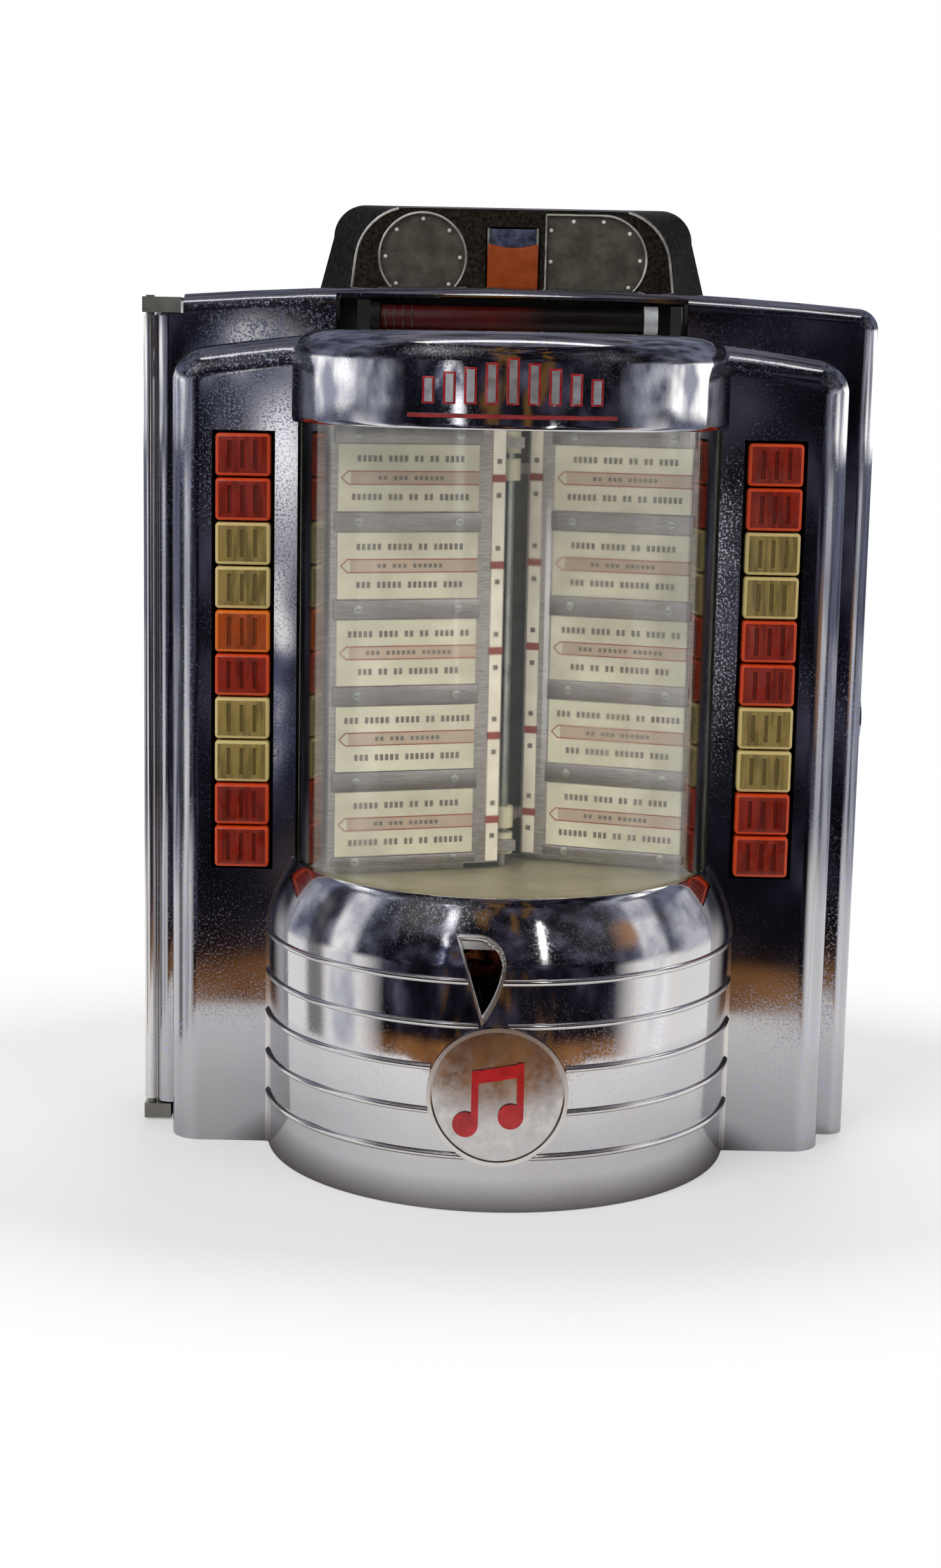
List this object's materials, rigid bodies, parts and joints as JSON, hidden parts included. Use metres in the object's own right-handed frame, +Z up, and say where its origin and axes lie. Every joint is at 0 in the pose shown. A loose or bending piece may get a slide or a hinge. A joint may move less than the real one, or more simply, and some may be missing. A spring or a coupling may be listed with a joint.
{
  "type": "jukebox wall box selector",
  "caption": "Chrome wall-mounted record selector with a half-round window over turning title pages, push-button columns, a ribbed drum below and a coin head behind.",
  "frame": {"origin": "middle of the base: the centre of the footprint, on the plane that the box stands on", "axes": "+X to the viewer's right, +Y to the back (the wall side), +Z up"},
  "size_m": [0.2692, 0.1524, 0.347],
  "materials": {
    "chrome": "polished",
    "badge_chrome": "polished with a red enamel mark",
    "red_enamel": "gloss",
    "clear_plastic": "clear",
    "head_metal": "dull dark plating",
    "window_plate": "smoky",
    "box_paint": "satin",
    "zinc_steel": "zinc plated",
    "hinge_steel": "plated",
    "spring_steel": "bright",
    "phenolic": "satin",
    "motor_steel": "satin",
    "rubber": "matte",
    "tray_metal": "satin cream",
    "red_lamp": "translucent",
    "blade_brass": "bright",
    "page_aluminium": "brushed, with cream cards",
    "orange_plastic": "gloss",
    "red_plastic": "worn gloss",
    "cream_plastic": "worn gloss"
  },
  "bodies": {
    "chassis": {"back_box": "box_paint", "coin_head": "head_metal", "head_windows": "window_plate", "coin_mechanism": "zinc_steel", "return_spring": "spring_steel", "cash_box": "zinc_steel", "transmitter_frame": "zinc_steel", "frame_screws": "zinc_steel", "contact_disc": "phenolic", "drive_motor": "motor_steel", "terminal_strip": "phenolic", "cable_grommet": "rubber", "hinge_brackets": "hinge_steel"},
    "cover": {"front_cover": "chrome", "hinge_barrel": "chrome", "top_cap": "chrome", "cap_ornament": "red_enamel", "page_window": "clear_plastic", "lower_drum": "chrome", "medallion": "badge_chrome", "teardrop_badge": "badge_chrome", "page_tray": "tray_metal", "page_spindle": "zinc_steel", "end_boards": "tray_metal", "lamp_tube": "red_lamp", "lamp_holders": "zinc_steel", "left_switch_frame": "zinc_steel", "right_switch_frame": "zinc_steel", "contact_blades": "blade_brass", "lock_body": "chrome", "cover_screws": "zinc_steel"},
    "left_page": {"left_leaf": "page_aluminium"},
    "right_page": {"right_leaf": "page_aluminium"},
    "lock": {"lock_plug": "blade_brass", "lock_cam": "zinc_steel"},
    "return_key": {"return_button": "orange_plastic"},
    "reject": {"reject_lever": "zinc_steel"},
    "wiper_drive": {"drive_gear": "phenolic", "wiper_arm": "blade_brass"},
    "pinion": {"motor_pinion": "blade_brass"},
    "left_button_01": {"left_button_01": "red_plastic"},
    "left_button_02": {"left_button_02": "red_plastic"},
    "left_button_03": {"left_button_03": "cream_plastic"},
    "left_button_04": {"left_button_04": "cream_plastic"},
    "left_button_05": {"left_button_05": "orange_plastic"},
    "left_button_06": {"left_button_06": "red_plastic"},
    "left_button_07": {"left_button_07": "cream_plastic"},
    "left_button_08": {"left_button_08": "cream_plastic"},
    "left_button_09": {"left_button_09": "red_plastic"},
    "left_button_10": {"left_button_10": "red_plastic"},
    "right_button_01": {"right_button_01": "red_plastic"},
    "right_button_02": {"right_button_02": "red_plastic"},
    "right_button_03": {"right_button_03": "cream_plastic"},
    "right_button_04": {"right_button_04": "cream_plastic"},
    "right_button_05": {"right_button_05": "red_plastic"},
    "right_button_06": {"right_button_06": "red_plastic"},
    "right_button_07": {"right_button_07": "cream_plastic"},
    "right_button_08": {"right_button_08": "cream_plastic"},
    "right_button_09": {"right_button_09": "red_plastic"},
    "right_button_10": {"right_button_10": "red_plastic"}
  },
  "joints": [
    {"name": "cover_hinge", "type": "hinge", "parent": "chassis", "child": "cover", "pos_m": [-0.132, 0.0255, 0.15], "axis": [0, 0, 1], "range_deg": [-100, 0]},
    {"name": "left_page_turn", "type": "hinge", "parent": "cover", "child": "left_page", "pos_m": [0.0005, 0.03, 0.18], "axis": [0, 0, 1], "range_deg": [0, 144]},
    {"name": "right_page_turn", "type": "hinge", "parent": "cover", "child": "right_page", "pos_m": [0.0005, 0.03, 0.18], "axis": [0, 0, 1], "range_deg": [-144, 0]},
    {"name": "lock_turn", "type": "hinge", "parent": "cover", "child": "lock", "pos_m": [0.125, 0.0365, 0.16], "axis": [-1, 0, 0], "range_deg": [0, 90]},
    {"name": "return_key_press", "type": "slide", "parent": "chassis", "child": "return_key", "axis": [0, 1, 0], "range_m": [0, 0.004], "stiffness_N_per_m": 200, "springref_m": -0.003, "deforming": ["return_spring"]},
    {"name": "reject_lever_tilt", "type": "hinge", "parent": "chassis", "child": "reject", "pos_m": [0, 0.0644, 0.298], "axis": [-1, 0, 0], "range_deg": [0, 9.6]},
    {"name": "drive_gear_turn", "type": "hinge", "parent": "chassis", "child": "wiper_drive", "pos_m": [0.072, 0.0615, 0.232], "axis": [0, 1, 0], "continuous": true},
    {"name": "pinion_turn", "type": "hinge", "parent": "chassis", "child": "pinion", "pos_m": [0.072, 0.0615, 0.19435], "axis": [0, 1, 0], "continuous": true},
    {"name": "left_button_01_press", "type": "slide", "parent": "cover", "child": "left_button_01", "axis": [0, 1, 0], "range_m": [0, 0.0035], "stiffness_N_per_m": 250, "springref_m": -0.002, "deforming": ["contact_blades"]},
    {"name": "left_button_02_press", "type": "slide", "parent": "cover", "child": "left_button_02", "axis": [0, 1, 0], "range_m": [0, 0.0035], "stiffness_N_per_m": 250, "springref_m": -0.002, "deforming": ["contact_blades"]},
    {"name": "left_button_03_press", "type": "slide", "parent": "cover", "child": "left_button_03", "axis": [0, 1, 0], "range_m": [0, 0.0035], "stiffness_N_per_m": 250, "springref_m": -0.002, "deforming": ["contact_blades"]},
    {"name": "left_button_04_press", "type": "slide", "parent": "cover", "child": "left_button_04", "axis": [0, 1, 0], "range_m": [0, 0.0035], "stiffness_N_per_m": 250, "springref_m": -0.002, "deforming": ["contact_blades"]},
    {"name": "left_button_05_press", "type": "slide", "parent": "cover", "child": "left_button_05", "axis": [0, 1, 0], "range_m": [0, 0.0035], "stiffness_N_per_m": 250, "springref_m": -0.002, "deforming": ["contact_blades"]},
    {"name": "left_button_06_press", "type": "slide", "parent": "cover", "child": "left_button_06", "axis": [0, 1, 0], "range_m": [0, 0.0035], "stiffness_N_per_m": 250, "springref_m": -0.002, "deforming": ["contact_blades"]},
    {"name": "left_button_07_press", "type": "slide", "parent": "cover", "child": "left_button_07", "axis": [0, 1, 0], "range_m": [0, 0.0035], "stiffness_N_per_m": 250, "springref_m": -0.002, "deforming": ["contact_blades"]},
    {"name": "left_button_08_press", "type": "slide", "parent": "cover", "child": "left_button_08", "axis": [0, 1, 0], "range_m": [0, 0.0035], "stiffness_N_per_m": 250, "springref_m": -0.002, "deforming": ["contact_blades"]},
    {"name": "left_button_09_press", "type": "slide", "parent": "cover", "child": "left_button_09", "axis": [0, 1, 0], "range_m": [0, 0.0035], "stiffness_N_per_m": 250, "springref_m": -0.002, "deforming": ["contact_blades"]},
    {"name": "left_button_10_press", "type": "slide", "parent": "cover", "child": "left_button_10", "axis": [0, 1, 0], "range_m": [0, 0.0035], "stiffness_N_per_m": 250, "springref_m": -0.002, "deforming": ["contact_blades"]},
    {"name": "right_button_01_press", "type": "slide", "parent": "cover", "child": "right_button_01", "axis": [0, 1, 0], "range_m": [0, 0.0035], "stiffness_N_per_m": 250, "springref_m": -0.002, "deforming": ["contact_blades"]},
    {"name": "right_button_02_press", "type": "slide", "parent": "cover", "child": "right_button_02", "axis": [0, 1, 0], "range_m": [0, 0.0035], "stiffness_N_per_m": 250, "springref_m": -0.002, "deforming": ["contact_blades"]},
    {"name": "right_button_03_press", "type": "slide", "parent": "cover", "child": "right_button_03", "axis": [0, 1, 0], "range_m": [0, 0.0035], "stiffness_N_per_m": 250, "springref_m": -0.002, "deforming": ["contact_blades"]},
    {"name": "right_button_04_press", "type": "slide", "parent": "cover", "child": "right_button_04", "axis": [0, 1, 0], "range_m": [0, 0.0035], "stiffness_N_per_m": 250, "springref_m": -0.002, "deforming": ["contact_blades"]},
    {"name": "right_button_05_press", "type": "slide", "parent": "cover", "child": "right_button_05", "axis": [0, 1, 0], "range_m": [0, 0.0035], "stiffness_N_per_m": 250, "springref_m": -0.002, "deforming": ["contact_blades"]},
    {"name": "right_button_06_press", "type": "slide", "parent": "cover", "child": "right_button_06", "axis": [0, 1, 0], "range_m": [0, 0.0035], "stiffness_N_per_m": 250, "springref_m": -0.002, "deforming": ["contact_blades"]},
    {"name": "right_button_07_press", "type": "slide", "parent": "cover", "child": "right_button_07", "axis": [0, 1, 0], "range_m": [0, 0.0035], "stiffness_N_per_m": 250, "springref_m": -0.002, "deforming": ["contact_blades"]},
    {"name": "right_button_08_press", "type": "slide", "parent": "cover", "child": "right_button_08", "axis": [0, 1, 0], "range_m": [0, 0.0035], "stiffness_N_per_m": 250, "springref_m": -0.002, "deforming": ["contact_blades"]},
    {"name": "right_button_09_press", "type": "slide", "parent": "cover", "child": "right_button_09", "axis": [0, 1, 0], "range_m": [0, 0.0035], "stiffness_N_per_m": 250, "springref_m": -0.002, "deforming": ["contact_blades"]},
    {"name": "right_button_10_press", "type": "slide", "parent": "cover", "child": "right_button_10", "axis": [0, 1, 0], "range_m": [0, 0.0035], "stiffness_N_per_m": 250, "springref_m": -0.002, "deforming": ["contact_blades"]}
  ],
  "couplings": [
    {"joint": "reject_lever_tilt", "follows": "return_key_press", "rad_per_m": 41.667},
    {"joint": "pinion_turn", "follows": "drive_gear_turn", "ratio": -4}
  ]
}
